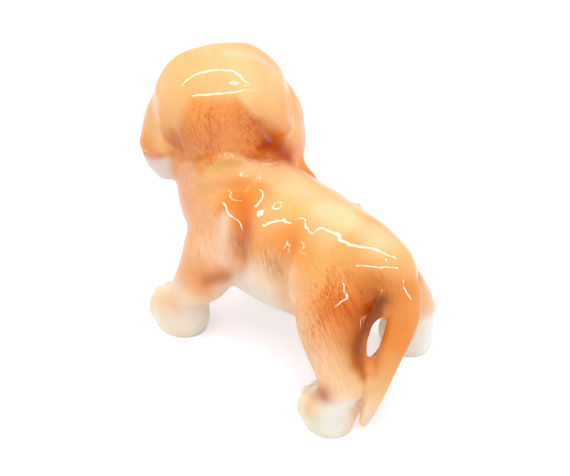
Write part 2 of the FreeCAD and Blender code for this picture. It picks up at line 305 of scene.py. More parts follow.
ears = {
    "fills": [
        {"line": [(14.5, -49, 66), (16.0, -46, 71), (18.0, -38, 74), (19.6, -31, 71)], "radius": 5.5,
         "rounds": 240},
        {"line": [(17.5, -40.7, 70.5), (19.7, -37.0, 67.9), (19.8, -36.5, 63.1), (20.0, -34.8, 60.0)],
         "radius": 5.0, "rounds": 400},
        {"line": [(-2.5, -11.2, 64), (-4.0, -11.6, 68), (-6.0, -13.0, 73), (-10.0, -16, 76),
                  (-14.0, -21, 76)], "radius": 6.5, "rounds": 400},
    ],
    "marks": {
        "rightFace": {"line": [(-7.0, -12.6, 74), (-7.0, -12.4, 69), (-8.5, -12.8, 64)], "radius": 4.5,
                      "push": 1.2},
        "rightFront": {"line": [(-16.5, -19, 72), (-19.5, -18, 64)], "radius": 4.0, "push": 0.8},
        "rightRidge": {"line": [(3.6, -15.0, 79), (0.0, -12.4, 73.0), (-4.0, -11.6, 68.5),
                                (-7.6, -12.0, 63)], "radius": 3.2, "push": 1.0},
        "rightCrease": {"line": [(5.6, -12.4, 73), (2.9, -10.8, 69.2), (0.0, -10.6, 65.4),
                                 (-4.0, -11.8, 60.4)], "radius": 1.8, "push": -0.3},
        "leftRidge": {"line": [(20.8, -33.8, 70), (21.2, -32.8, 65), (20.6, -34.4, 59)], "radius": 2.6,
                      "push": 0.9},
        "leftCrease": {"line": [(20.8, -29.6, 69), (20.6, -28.4, 64.5), (19.4, -29.6, 59)], "radius": 1.8,
                       "push": -0.7},
        "leftHem": {"line": [(19.6, -46.0, 50.8), (20.9, -40.5, 52.6), (20.9, -36.0, 55.0),
                             (19.6, -32.0, 57.0)], "radius": 1.1, "push": -0.9},
        "leftCorner": {"line": [(20.5, -46.5, 54.5), (20.8, -44.0, 56)], "radius": 2.8, "push": 1.2},
    },
    "paintReach": 5.0,
    "paint": {
        "top": ((18, -38, 76), "fdcb92"), "middle": ((20, -37, 68), "fec27e"),
        "low": ((20.5, -38.6, 60.7), "fdbd70"), "tip": ((20.8, -41, 54), "f9a055"),
        "edge": ((20.9, -37, 49), "f6b07a"),
        "rightTop": ((-9.5, -14, 71.8), "fdba72"), "rightMiddle": ((-11, -13.5, 62.8), "fdb566"),
        "rightRear": ((-14.5, -13.5, 58), "fdb76a"), "rightLow": ((-12.9, -12.7, 52), "f0a870"),
        "rightEdge": ((-20.5, -16.5, 60), "ffd9c0"), "rightEdgeLow": ((-21.4, -17.4, 52), "ffd4ba"),
        "rightFront": ((-19, -24, 62), "fcb36a"), "rightFrontLow": ((-20, -24, 52), "f7a45c"),
    },
    "shade": {
        # Painted shade: darker colour under the right ear's rear edge, in the creases behind both ears and
        # along the left ear's lower hem.
        "rightShadow": {"line": [(3.6, -11.2, 70.0), (-0.4, -10.8, 65.0), (-5.0, -12.0, 59)], "reach": 2.6,
                        "strength": 0.55, "colour": "c25a1c"},
        "rightCrease": {"line": [(-0.4, -11.2, 61.6), (-4.2, -12.0, 57.6), (-7.8, -11.7, 54.0)],
                        "reach": 3.5, "strength": 0.93, "colour": "b8480c"},
        "leftCrease": {"line": [(20.3, -28.8, 65), (19.6, -30.0, 60), (19.0, -31.2, 57)], "reach": 2.0,
                       "strength": 0.5, "colour": "c9652c"},
        "leftHem": {"line": [(20.0, -45.2, 51.6), (20.8, -41.6, 52.4), (20.9, -36.8, 54.6)], "reach": 1.8,
                    "strength": 0.55, "colour": "e8762f"},
    },
}
# Under the hem of the left ear the cream jowl shows. The hem rises towards the rear.
jowl = {"hemHeight": 50.6, "hemStart": -44.8, "hemRise": 0.42, "hemEdge": (0.5, -0.9), "sideEdge": (9, 15),
        "rearEdge": (-31, -34), "footEdge": (42, 47), "colour": "ecd9cc"}
trunk = {
    "fills": [
        {"line": [(12.5, 22.0, 46.5), (10.5, 30.0, 47.0), (8.0, 38.0, 46.0)], "radius": 4.5,
         "rounds": 80},
        {"line": [(14.0, -20.0, 51.5), (12.5, -12.0, 50.5), (13.0, -8.0, 48.5)], "radius": 5.0,
         "rounds": 80},
    ],
    "marks": {
        "backFall": {"line": [(13.0, -4, 49.0), (14.0, 6, 46.5), (12.5, 14, 47.5), (10.0, 26, 48.0)],
                     "radius": 7.0, "push": -0.9},
        "backRipple": {"line": [(6.6, -1.0, 52), (7.4, 1.0, 51.4)], "radius": 1.8, "push": 0.35},
        "backRippleTwo": {"line": [(7.4, 9.0, 51.0), (8.4, 10.6, 50.4)], "radius": 1.8, "push": 0.35},
        "backRippleThree": {"line": [(7.0, 17.0, 51.2), (8.2, 18.4, 50.4)], "radius": 1.8, "push": 0.3},
        "bladeHollow": {"line": [(12.8, -9.0, 48.6), (15.0, -5.4, 45.5), (17.6, -2.2, 40), (18.8, -3.0, 35)],
                        "radius": 2.6, "push": -1.1, "right": (0, 0, 0)},
        "ribSwell": {"line": [(14.5, 4.0, 45), (17.5, 5.0, 39)], "radius": 4.5, "push": 0.4,
                     "right": (0, 0, 0)},
    },
    "paint": {
        "withersSide": ((13, -19, 56), "fdc17c"), "withersTop": ((4, -14, 57), "fdd199"),
        "spineFront": ((0, 3, 52.5), "fdd7a0"), "spineMiddle": ((0, 19, 52.3), "fedfac"),
        "spineRear": ((0, 34, 51), "fed4a2"), "rumpTop": ((0, 43, 48), "fdbe7e"),
        "backFront": ((8, 5, 50.5), "fcc67c"), "backMiddle": ((8, 20, 50.2), "fac98d"),
        "backRear": ((8, 32, 49), "f6b469"), "rumpSide": ((6, 42, 46.5), "fdbe7c"),
        "shoulderTop": ((16, -20, 50), "fdbc7a"), "chestSide": ((19.5, -26, 45), "fcbb8c"),
        "chestFront": ((8, -42, 40), "fce0c0"), "throat": ((0, -40, 50), "fbe6cc"),
        # The blade hollow's places are darker: painted shade in the hollow behind the shoulder blade.
        "bladeHollowTop": ((12, -9.5, 49.5), "f79e48"), "bladeHollow": ((15, -6, 46), "ef8636"),
        "bladeHollowLow": ((18, -3, 40), "db8b58"), "elbowHollow": ((19, -5, 35), "eba369"),
        "flankTop": ((13.6, 17.6, 46), "fba655"), "flankFront": ((12, 0, 48), "fbc080"),
        "flankMiddle": ((15.7, 5, 43.6), "fab068"), "flankRear": ((13.7, 11.5, 46), "f49745"),
        "flankLow": ((17.5, 11.5, 38), "eebb8a"), "flankPale": ((18.7, 7, 32), "ffe4c6"),
        "bellySide": ((17.5, 0, 24), "ffeedd"), "bellyMiddle": ((0, -5, 12), "fdebd2"),
        "bellyRear": ((0, 22, 18), "fce6cc"), "chestLow": ((0, -34, 22), "fce8cf"),
    },
    "paintOnce": {"withersRight": ((-3, -10.5, 54), "fdd09a"), "rumpRight": ((-9, 38, 42), "fbc592")},
    "shade": {
        # Painted shade in the hollow behind the shoulder blade. Along the crease in front of the haunch, the
        # darker colour is painted shade and grey fur strokes.
        "hollowDeep": {"line": [(12.8, -8.8, 48.8), (15.0, -5.2, 45.4), (16.4, -3.4, 43)], "reach": 2.4,
                       "strength": 0.5, "colour": "e57a26"},
        "hollowShadeLow": {"line": [(16.2, -3.9, 43.4), (18.4, -2.6, 37.6)], "reach": 2.2, "strength": 0.4,
                         "colour": "b36a3c"},
        "flankStrokesAndShade": {"line": [(15.6, 12.8, 43.4), (17.6, 12.8, 37)], "reach": 2.2, "strength": 0.25,
                        "colour": "b88250"},
    },
    "strokes": {
        "nape": [((19, -24, 50), 8.0, 0.35), ((19, -16, 44), 6.0, 0.4)],
        "flank": [((17.5, 10, 39), 6.0, 0.75), ((19, -3, 39), 5.0, 0.6),
                  ((-17.5, 10, 39), 6.0, 0.75), ((-19, -3, 39), 5.0, 0.6)],
    },
}
# The lobe of loose skin over the trunk's withers stands out under an arc, heights over places across.
withers = {
    "line": [(14.6, -20.4, 55.0), (11.5, -17.0, 56.6), (7.6, -15.0, 55.6)], "radius": 5.2, "edge": 0.9,
    "move": (1.9, 2.1, 0.9), "front": -5,
    "across": [-14, -8, -3, 1.7, 5.1, 9.5, 12.6, 14.6, 16, 18, 22],
    "height": [60, 56, 54, 55.4, 57.6, 60.8, 62.2, 61.2, 58, 54, 50],
    # The head's paint ends at the arc, except in front. Over the arc it covers the neck too, not the rear.
    "headEdge": (-1.6, 0.4), "headFront": -27, "frontLift": 20, "arcEdge": (-1.3, 1.3),
    "rearEdge": (-6, -11),
}
foreLegs = {
    "marks": {
        "bladeRidge": {"line": [(15.6, -13.5, 49), (17.4, -10.2, 44), (19.2, -8.8, 38.5), (20.4, -7.6, 33)],
                       "radius": 1.9, "push": 0.8, "right": (0, 0, 0)},
        "elbowFold": {"line": [(22.0, -8.0, 29), (24.5, -9.5, 25)], "radius": 1.4, "push": -0.6,
                      "right": (0, 0, 0)},
        "chestFold": {"line": [(19.6, -20.0, 44), (22.0, -17.0, 37), (24.5, -14.0, 31)], "radius": 2.2,
                      "push": -0.45, "right": (0, 0, 0)},
        "foreSwell": {"line": [(18.5, -15.5, 44), (21.5, -12.8, 37)], "radius": 2.4, "push": 0.45,
                      "right": (0, 0, 0)},
    },
    "paint": {
        "shoulderLow": ((21, -16, 36), "fdc08a"), "bladeRidge": ((19, -9, 38), "fcc795"),
        # The ridge's low place is pale: a painted highlight on the ridge.
        "bladeRidgeLow": ((20.5, -9.5, 32.5), "ffe2c8"),
        "shoulder": ((24.2, -12, 31.4), "ffd4aa"), "front": ((24.5, -19, 31), "fbc493"),
        "shin": ((27.5, -15.5, 24), "fab073"), "ankle": ((29, -16, 17), "fee0c0"),
        "paw": ((30, -24, 7), "ffedd2"), "pawRear": ((25, -15, 6), "ffeee0"),
        "inner": ((17, -12, 22), "f6dcc4"),
    },
    "shade": {
        "elbowGlow": {"line": [(22.6, -8.6, 28.6), (25.6, -12.0, 27.4)], "reach": 5.2, "strength": 0.6,
                      "colour": "f09040"},
        "elbow": {"line": [(21.6, -6.2, 27.3), (23.9, -7.9, 26.6), (25.5, -9.8, 25.5)], "reach": 2.4,
                  "strength": 0.62, "colour": "b8561a"},
        # Painted highlight: pale colour along the shoulder blade's ridge, where light catches it.
        "ridgeHighlight": {"line": [(17.4, -10.4, 44), (19.2, -9.0, 38.5), (20.6, -7.8, 32)], "reach": 1.8,
                       "strength": 0.75, "colour": "ffe8d0"},
        "pawWarm": {"line": [(30.4, -28.5, 11.4), (29.8, -22.0, 13.4)], "reach": 3.8, "strength": 0.7,
                    "colour": "fdbd84"},
    },
    "strokes": {"flank": [((21, -16, 34), 7.0, 0.45), ((-21, -16, 34), 7.0, 0.45)]},
}
hindLegs = {
    # The right hind leg stands further forward, and so does its paint, more and more from this start on.
    "rightStep": 8.0, "rightStepStart": 15, "rightStepRun": 15,
    "marks": {
        "haunchCrease": {"line": [(13.6, 13.6, 45.5), (15.8, 14.6, 41), (17.2, 15.2, 35), (16.6, 15.6, 29)],
                         "radius": 1.7, "push": -0.9, "right": (0, -5.0, 0)},
        "haunchEdge": {"line": [(14.0, 17.4, 45.0), (16.4, 17.8, 40.5), (17.8, 18.6, 34), (18.4, 19.6, 27)],
                       "radius": 1.8, "push": 0.8, "right": (0, -5.0, 0)},
        "haunchSwell": {"line": [(16.5, 28.5, 41), (19.0, 30.5, 35), (20.5, 33.0, 30)], "radius": 5.5,
                        "push": 0.15, "right": (0, -8.0, 0)},
        "thighTop": {"line": [(13.6, 34.0, 40.8), (16.0, 36.0, 38.0)], "radius": 3.0, "push": 0.45},
    },
    "paint": {
        "creaseTop": ((16.6, 17.6, 40), "fcc18a"), "creaseLow": ((17.4, 18.2, 31), "fdd0a0"),
        "thighTop": ((14.4, 23, 43.6), "fdba6c"), "thighTopRear": ((12, 35.6, 43), "fdae64"),
        "thighRump": ((9.9, 39.3, 44), "de7a28"), "thighFront": ((18.5, 26.5, 36), "fdba78"),
        "thighMiddle": ((17.5, 33, 37), "e68336"), "thighRear": ((14.8, 38, 38), "dc7626"),
        "thighLowFront": ((22.7, 29.6, 29.4), "fbc894"), "thighLow": ((21.3, 36, 31), "f6ae6c"),
        "thighLowRear": ((18.6, 40, 31.8), "ea965a"), "hockFront": ((24, 37, 26), "fdd0aa"),
        "hockRear": ((21.5, 42.3, 26), "f4bc80"), "ankle": ((24.7, 42, 21), "fdd3aa"),
        "heel": ((24, 46, 10), "fff8ee"), "paw": ((27, 36, 8), "fff6dc"), "inner": ((12, 33, 20), "e8d4be"),
    },
    "shade": {
        # Painted shade: the recess between the tail and the thigh, darker towards its deepest part, with a
        # softer darkening around it.
        "recessHalo": {"line": [(7.0, 42.0, 44.0), (10.5, 40.0, 40.5), (14.0, 40.3, 35), (17.5, 41.8, 29)],
                       "reach": 3.4, "strength": 0.4, "colour": "c4601e"},
        "recess": {"line": [(9.8, 44.3, 40.6), (12.3, 44.2, 36.9), (15.2, 43.6, 32.8), (16.9, 44.0, 28.8),
                            (17.6, 45.4, 25.1)], "reach": 2.9, "strength": 0.95, "colour": "b8621c"},
        "recessFoot": {"line": [(17.6, 45.4, 25.1), (17.4, 47.0, 21.0)], "reach": 1.8, "strength": 0.8,
                       "colour": "bc5c1c"},
        "recessDeep": {"line": [(8.8, 44.4, 41.0), (10.4, 44.0, 37.4), (12.4, 43.4, 33.6)], "reach": 2.0,
                       "strength": 0.7, "colour": "6e4420"},
        "recessEdge": {"line": [(11.2, 44.2, 38.9), (13.9, 43.7, 35.3), (16.0, 43.8, 31.0),
                                (16.9, 44.5, 27.0)], "reach": 1.6, "strength": 0.6, "colour": "8c4818"},
        "rumpBrown": {"line": [(8.0, 40.4, 45.0), (11.6, 37.6, 42.4), (14.6, 36.6, 38.6)], "reach": 4.0,
                      "strength": 0.15, "colour": "c4601c"},
        # Painted highlight: a pale band along the haunch's front edge, where light catches it.
        "haunchHighlight": {"line": [(16.5, 17.9, 40.0), (18.0, 18.7, 34), (18.6, 19.7, 27)], "reach": 1.3,
                        "strength": 0.55, "colour": "ffdcb0"},
        "haunchRoot": {"line": [(13.4, 15.0, 46.2), (14.6, 20.0, 45.0)], "reach": 3.4, "strength": 0.5,
                       "colour": "f79a46"},
        "pawWarm": {"line": [(27.0, 36.6, 12.4), (29.2, 36.4, 9.0)], "reach": 3.8, "strength": 0.75,
                    "colour": "fdba6c"},
        "pawSpot": {"line": [(27.0, 41.7, 16.6), (25.3, 38.2, 14.8)], "reach": 2.8, "strength": 0.8,
                    "colour": "c4622a"},
    },
    "strokes": {
        "thigh": [((15, 33, 39), 9.5, 1.0), ((20, 33, 31), 8.5, 0.8), ((23, 40, 23), 6.5, 0.45),
                  ((-15, 28, 36), 7.5, 0.8), ((-21, 28, 29), 7.0, 0.5)],
    },
}
tail = {
    "marks": {
        "fold": {"line": [(15.0, 46.9, 20), (16.2, 46.9, 13.0), (18.0, 47.3, 7)], "radius": 0.9,
                 "push": -0.5},
    },
    "paintOnce": {
        "top": ((4, 45.6, 43.5), "e08035"), "upper": ((6.8, 49.5, 38), "ef9249"),
        "middle": ((9.5, 50.2, 31), "f69343"), "low": ((12.3, 50.4, 24), "f5ab64"),
        "nearTip": ((15, 50.3, 17), "f9c68e"), "tip": ((17.8, 49.5, 8), "fddab4"),
        "right": ((1.5, 47, 36), "f9b878"),
    },
    "strokes": {"thigh": [((8, 43, 43), 5.0, 0.8)]},
}
pieces = [head, ears, trunk, foreLegs, hindLegs, tail]


# All entries of one kind, piece after piece.
def entries(kind, ofPieces=pieces):
    found = []
    for piece in ofPieces:
        found += piece.get(kind, {}).values()
    return found


# Distance from every point to a line of straight runs.
def distanceToLine(points, line):
    nearest = np.full(len(points), np.inf)
    for start, end in zip(line[:-1], line[1:]):
        start = np.array(start, float)
        run = np.array(end, float) - start
        along = np.clip((points - start) @ run / max(run @ run, 1e-9), 0, 1)
        nearest = np.minimum(nearest, np.linalg.norm(points - (start + along[:, None] * run), axis=1))
    return nearest


# Pushes the withers' lobe out under its arc.
def raisedLobe(points):
    below = np.interp(points[:, 0], withers["across"], withers["height"]) - points[:, 2]
    away = distanceToLine(points, withers["line"])
    amount = smoothStep(-withers["edge"], withers["edge"], below) * np.exp(-(away / withers["radius"]) ** 4)
    amount = amount * (points[:, 1] < withers["front"])
    return points + amount[:, None] * np.array(withers["move"])


# Presses the tool marks in or out along the skin's normals.
def pressed(points, quads, marks):
    normals = vertexNormals(points, quads)
    move = np.zeros(len(points))
    for mark in marks:
        lines = [mark["line"]]
        if "right" in mark:
            step = mark["right"]
            lines.append([(-x + step[0], y + step[1], z + step[2]) for x, y, z in mark["line"]])
        for line in lines:
            away = distanceToLine(points, line)
            move += mark["push"] * np.exp(-(away / mark["radius"]) ** 2)
    return points + normals * move[:, None]


for piece in pieces:
    for fill in piece.get("fills", []):
        away = distanceToLine(points, fill["line"])
        points = filled(points, quads, edges, np.exp(-(away / fill["radius"]) ** 2)[:, None], fill["rounds"])
points = spread(points, edges, luted, skin["lastEase"])
points = pressed(raisedLobe(points), quads, entries("marks"))

# The vent is pushed back in where the plug closed it.
ventAway = np.linalg.norm(points[:, :2] - np.array(vent["place"][:2]), axis=1)
ventHole = 1 - smoothStep(vent["radius"] * vent["rimShare"], vent["radius"], ventAway)
points[:, 2] += ventHole * (points[:, 2] < vent["below"]) * vent["depth"]
print("marks modelled")

# The paint and the glaze over it.
glaze = {
    # fur strokes: width, length, colour and each one's direction
    "strokeWidth": 0.52, "strokeLength": 10.0, "strokeColour": "dc8244",
    "strokeEdge": {"From Min": 0.46, "From Max": 0.62},
    "aims": {"nape": (-0.22, 0.22, -0.95), "slant": (-0.60, -0.28, -0.75),
             "flank": (0.26, 0.58, -0.77), "thigh": (0.08, 0.72, -0.69)},
    # the ears lose this much of them, and over this height the head has them on the nape only
    "earStrokeLoss": 0.85, "napeOnlyOver": 58,
    # patches where the brush pressed less, and the airbrush's mottling
    "patchSize": 3.5, "patchTones": {"From Min": 0.35, "From Max": 0.65, "To Min": 0.5, "To Max": 1.0},
    "mottleSize": 6.0, "mottleTones": {"From Min": 0.3, "From Max": 0.7, "To Min": 0.955, "To Max": 1.04},
    # painted shade in hollows: darker colour the deeper a point lies
    "cavityShadeRounds": 90, "cavityShadeDepth": (0.15, 0.9), "cavityShadeStrength": 0.35, "cavityShadeColour": "e09050",
    # the clear glaze adds a pale sheen, so the paint under it is a little deeper
    "deepening": 1.05, "sheen": 0.022, "darkestShare": 0.5, "paintLimits": (0.002, 1),
    # slow ripples on the glaze
    "rippleSize": 7.0, "rippleDepth": 0.9, "rippleStrength": 0.3,
    # how far the airbrush spreads on the body, and the soft edge between the pieces' paint
    "bodyReach": 4.6, "pieceEdge": 0.9,
    # clay and paint are matt under the glaze, and the glaze is the coat
    "surface": {"Roughness": 0.6, "IOR": 1.45, "Specular IOR Level": 0.0,
                "Coat Weight": 0.6, "Coat Roughness": 0.03, "Coat IOR": 1.45},
}
headTurn = Matrix.Rotation(math.radians(-head["turn"]), 3, "Z")
headNod = Matrix.Rotation(math.radians(head["nod"]), 3, "X")


# A place in the nodded head's own frame, in the figure's millimetres.
def onHead(place, side=1):
    local = Vector((place[0] * side, place[1], place[2]))
    return np.array(Vector(head["middle"]) + headTurn @ headNod @ local)


# Soft blend of the colours, nearest place strongest. A faint pull reaches the points far from them all.
def airbrushed(points, places, reach):
    total = np.zeros((len(points), 3))
    weightSum = np.zeros(len(points))
    for place, hexColour in places:
        away = np.linalg.norm(points - np.array(place), axis=1)
        faint = 1e-4 / (1 + (away / reach) ** 4)
        weight = np.exp(-(away / reach) ** 2) + faint
        total += weight[:, None] * np.array(linear(hexColour))
        weightSum += weight
    return total / weightSum[:, None]


# The right side's copies of the places that aren't on the middle line.
def mirrored(places):
    found = []
    for place, hexColour in places:
        if place[0] > 1:
            behind = max(place[1] - hindLegs["rightStepStart"], 0) / hindLegs["rightStepRun"]
            step = hindLegs["rightStep"] * min(behind, 1)
            found.append(((-place[0], place[1] - step, place[2]), hexColour))
    return found


# How much a point belongs to these CAD pieces rather than to the others, with a soft edge.
def share(*names):
    own = distances[:, [nodeNames.index(n) for n in names]].min(axis=1)
    rest = distances[:, [i for i, n in enumerate(nodeNames) if n not in names]].min(axis=1)
    return smoothStep(-glaze["pieceEdge"], glaze["pieceEdge"], rest - own)[:, None]


body = [trunk, foreLegs, hindLegs, tail]
bodyPlaces = entries("paint", body)
bodyPlaces += mirrored(bodyPlaces) + entries("paintOnce", body)
headPlaces = entries("paint", [head])
for place, hexColour in face["paint"].values():
    for side in ((1, -1) if place[0] else (1,)):
        headPlaces.append((onHead(place, side), hexColour))

fromHead = points - np.array(head["middle"])
bearing = np.degrees(np.arctan2(fromHead[:, 0], fromHead[:, 1]))
rise = fromHead[:, 2]
rightEarEdge = nape["rightBearing"] - nape["rightSlant"] * (nape["rightHeight"] - rise)
onNape = (smoothStep(*nape["topEdge"], rise) * smoothStep(*nape["frontEdge"], fromHead[:, 1])
          * smoothStep(*nape["leftEdge"], bearing - (nape["leftBearing"] - rise))
          * smoothStep(*nape["rightEdge"], bearing - rightEarEdge))
headPaint = airbrushed(points, headPlaces, head["paintReach"])
napePaint = airbrushed(points, entries("paint", [nape]), nape["paintReach"])
headPaint += (napePaint - headPaint) * onNape[:, None]

overArc = points[:, 2:] - np.interp(points[:, :1], withers["across"], withers["height"])
inFront = points[:, 1:2] < withers["headFront"]
headShare = share("head") * smoothStep(*withers["headEdge"], overArc + withers["frontLift"] * inFront)
overWithers = smoothStep(*withers["arcEdge"], overArc) * smoothStep(*withers["rearEdge"], points[:, 1:2])
headShare = np.maximum(headShare, overWithers)
earShare = share("left_ear", "right_ear")
earPaint = airbrushed(points, entries("paint", [ears]), ears["paintReach"])
paint = airbrushed(points, bodyPlaces, glaze["bodyReach"]) * (1 - headShare) + headPaint * headShare
paint = paint * (1 - earShare) + earPaint * earShare

overHem = points[:, 2] - (jowl["hemHeight"] + (points[:, 1] - jowl["hemStart"]) * jowl["hemRise"])
onJowl = (smoothStep(*jowl["hemEdge"], overHem) * smoothStep(*jowl["sideEdge"], points[:, 0])
          * smoothStep(*jowl["rearEdge"], points[:, 1]) * smoothStep(*jowl["footEdge"], points[:, 2]))
onJowl = onJowl[:, None]
paint = paint * (1 - onJowl) + np.array(linear(jowl["colour"])) * onJowl
# Lays the shade entries: brushed pigment, painted shade in creases and recesses, painted highlights on
# ridges and edges, and a painted reflection on the crown.
for mark in entries("shade"):
    away = distanceToLine(points, mark["line"])
    laid = (mark["strength"] * np.exp(-(away / mark["reach"]) ** 2))[:, None]
    paint = paint * (1 - laid) + np.array(linear(mark["colour"])) * laid

# How deep each point lies below the softened skin tells where the hollows are. They get painted shade,
# darker the deeper they lie.
softened = spread(points, edges, 1, glaze["cavityShadeRounds"])
depth = np.einsum("ij,ij->i", softened - points, vertexNormals(points, quads))
cavityShade = smoothStep(*glaze["cavityShadeDepth"], depth)[:, None] * glaze["cavityShadeStrength"]
paint = paint * (1 - cavityShade * (1 - np.array(linear(glaze["cavityShadeColour"]))))
paint = np.maximum(paint * glaze["deepening"] - glaze["sheen"], paint * glaze["darkestShare"])
paint = paint.clip(*glaze["paintLimits"])

# The amounts that the material reads at each point: fur by direction, and how far the face's parts are.
amounts = {}
for name in glaze["aims"]:
    field = np.zeros(len(points))
    for piece in pieces:
        for place, reach, strength in piece.get("strokes", {}).get(name, []):
            away = np.linalg.norm(points - np.array(place), axis=1)
            field = np.maximum(field, strength * np.exp(-(away / reach) ** 2))
    amounts[name + "Fur"] = field * (1 - glaze["earStrokeLoss"] * earShare[:, 0])
offNape = np.clip(headShare[:, 0], 0, 1) * (points[:, 2] > glaze["napeOnlyOver"]) * (1 - onNape)
for name in ("napeFur", "slantFur"):
    amounts[name] *= 1 - offNape
eyes = [np.linalg.norm(points - onHead(face["eye"], side), axis=1) for side in (1, -1)]
lines = [distanceToLine(points, [onHead(place) for place in face[name]]) for name in ("mouth", "lip")]
amounts["eyeAway"] = np.minimum(*eyes)
amounts["noseAway"] = np.linalg.norm(points - onHead(face["nose"]), axis=1)
amounts["mouthAway"] = np.minimum(*lines)
print("paint laid on")


# Adds a node, sets its properties and input values, and links its inputs.
def addNode(tree, kind, inputs=None, links=None, **settings):
    node = tree.nodes.new(kind)
    for name, value in settings.items():
        setattr(node, name, value)
    for name, value in (inputs or {}).items():
        node.inputs[name].default_value = value
    for name, source in (links or {}).items():
        tree.links.new(source, node.inputs[name])
    return node


# The fur strokes' share of the surface: noise drawn out along the brush's direction, pressed harder
# here and there. Flank and thigh strokes are mirrored.
def furStrokes(tree, place):
    patches = addNode(tree, "ShaderNodeTexNoise", {"Scale": 1 / (glaze["patchSize"] * mm), "Detail": 1.0},
                      {"Vector": place})
    pressure = addNode(tree, "ShaderNodeMapRange", glaze["patchTones"], {"Value": patches.outputs["Fac"]})
    apart = addNode(tree, "ShaderNodeSeparateXYZ", links={"Vector": place})
    outwards = addNode(tree, "ShaderNodeMath", None, {0: apart.outputs["X"]}, operation="ABSOLUTE")
    bothSides = addNode(tree, "ShaderNodeCombineXYZ", None,
                        {"X": outwards.outputs["Value"], "Y": apart.outputs["Y"], "Z": apart.outputs["Z"]})
    total = None
    for name, aim in glaze["aims"].items():
        turn = Vector((1, 0, 0)).rotation_difference(Vector(aim).normalized()).to_euler()
        size = (glaze["strokeLength"] * mm, glaze["strokeWidth"] * mm, glaze["strokeWidth"] * mm)
        over = bothSides.outputs["Vector"] if name in ("flank", "thigh") else place
        turned = addNode(tree, "ShaderNodeMapping", {"Rotation": turn, "Scale": size}, {"Vector": over},
                         vector_type="TEXTURE")
        drawn = addNode(tree, "ShaderNodeTexNoise",
                        {"Scale": 1.0, "Detail": 2.0, "Roughness": 0.6, "Distortion": 0.4},
                        {"Vector": turned.outputs["Vector"]})
        thin = addNode(tree, "ShaderNodeMapRange", glaze["strokeEdge"], {"Value": drawn.outputs["Fac"]})
        amount = addNode(tree, "ShaderNodeAttribute", attribute_name=name + "Fur")
        laid = addNode(tree, "ShaderNodeMath", None, {0: thin.outputs["Result"], 1: amount.outputs["Fac"]},
                       operation="MULTIPLY")
        laid = addNode(tree, "ShaderNodeMath", None,
                       {0: laid.outputs["Value"], 1: pressure.outputs["Result"]}, operation="MULTIPLY")
        if total:
            laid = addNode(tree, "ShaderNodeMath", None, {0: total, 1: laid.outputs["Value"]},
                           operation="MAXIMUM")
        total = laid.outputs["Value"]
    return total


def glazedEarthenware(name):
    # Slip-cast white earthenware, airbrushed in tan underglaze, with fine brown fur strokes drawn by brush,
    # then dipped in clear glaze. The eye gets warm mottled colour under a hard wet shine with soft ripples.
    material = bpy.data.materials.new(name)
    material.use_nodes = True
    tree = material.node_tree
    tree.nodes.clear()
    place = addNode(tree, "ShaderNodeTexCoord").outputs["Object"]

    # The airbrush's slow mottling.
    mottle = addNode(tree, "ShaderNodeTexNoise",
                     {"Scale": 1 / (glaze["mottleSize"] * mm), "Detail": 2.0, "Roughness": 0.5},
                     {"Vector": place})
    tone = addNode(tree, "ShaderNodeMapRange", glaze["mottleTones"], {"Value": mottle.outputs["Fac"]})
    paintIn = addNode(tree, "ShaderNodeAttribute", attribute_name="paint")
    mottled = addNode(tree, "ShaderNodeVectorMath", None,
                      {0: paintIn.outputs["Color"], "Scale": tone.outputs["Result"]}, operation="SCALE")
    stroked = addNode(tree, "ShaderNodeMix", {7: linear(glaze["strokeColour"]) + [1]},
                      {0: furStrokes(tree, place), 6: mottled.outputs["Vector"]},
                      data_type="RGBA", blend_type="MULTIPLY")
    colour = stroked.outputs[2]

    # The painted face, one part over the other.
    for part in face["parts"].values():
        away = addNode(tree, "ShaderNodeAttribute", attribute_name=part["by"])
        inside = addNode(tree, "ShaderNodeMapRange", {"From Min": part["outer"], "From Max": part["inner"]},
                         {"Value": away.outputs["Fac"]})
        over = addNode(tree, "ShaderNodeMix", {7: linear(part["colour"]) + [1]},
                       {0: inside.outputs["Result"], 6: colour}, data_type="RGBA")
        colour = over.outputs[2]

    ripple = addNode(tree, "ShaderNodeTexNoise",
                     {"Scale": 1 / (glaze["rippleSize"] * mm), "Detail": 1.0, "Roughness": 0.4},
                     {"Vector": place})
    bump = addNode(tree, "ShaderNodeBump",
                   {"Strength": glaze["rippleStrength"], "Distance": glaze["rippleDepth"] * mm},
                   {"Height": ripple.outputs["Fac"]})
    shader = addNode(tree, "ShaderNodeBsdfPrincipled", glaze["surface"],
                     {"Base Color": colour, "Coat Normal": bump.outputs["Normal"]})
    addNode(tree, "ShaderNodeOutputMaterial", None, {"Surface": shader.outputs["BSDF"]})
    return material


# The skin is cut back into the nine pieces.
pieceNames = {"torso": "castTrunk", "head": "castHead", "tail": "hangingTail",
              "left_ear": "leftEarFlap", "right_ear": "rightEarFlap",
              "front_left_leg": "frontLeftLeg", "front_right_leg": "frontRightLeg",
              "hind_left_leg": "hindLeftLeg", "hind_right_leg": "hindRightLeg"}
bodyGlaze = glazedEarthenware("clearGlazedEarthenware")
normals = vertexNormals(points, quads)

# Smoothed distances give clean joint lines. Each quad goes to the piece that it is nearest to.
owner = spread(distances, edges, 1, skin["ownerRounds"])[quads].mean(axis=1).argmin(axis=1)


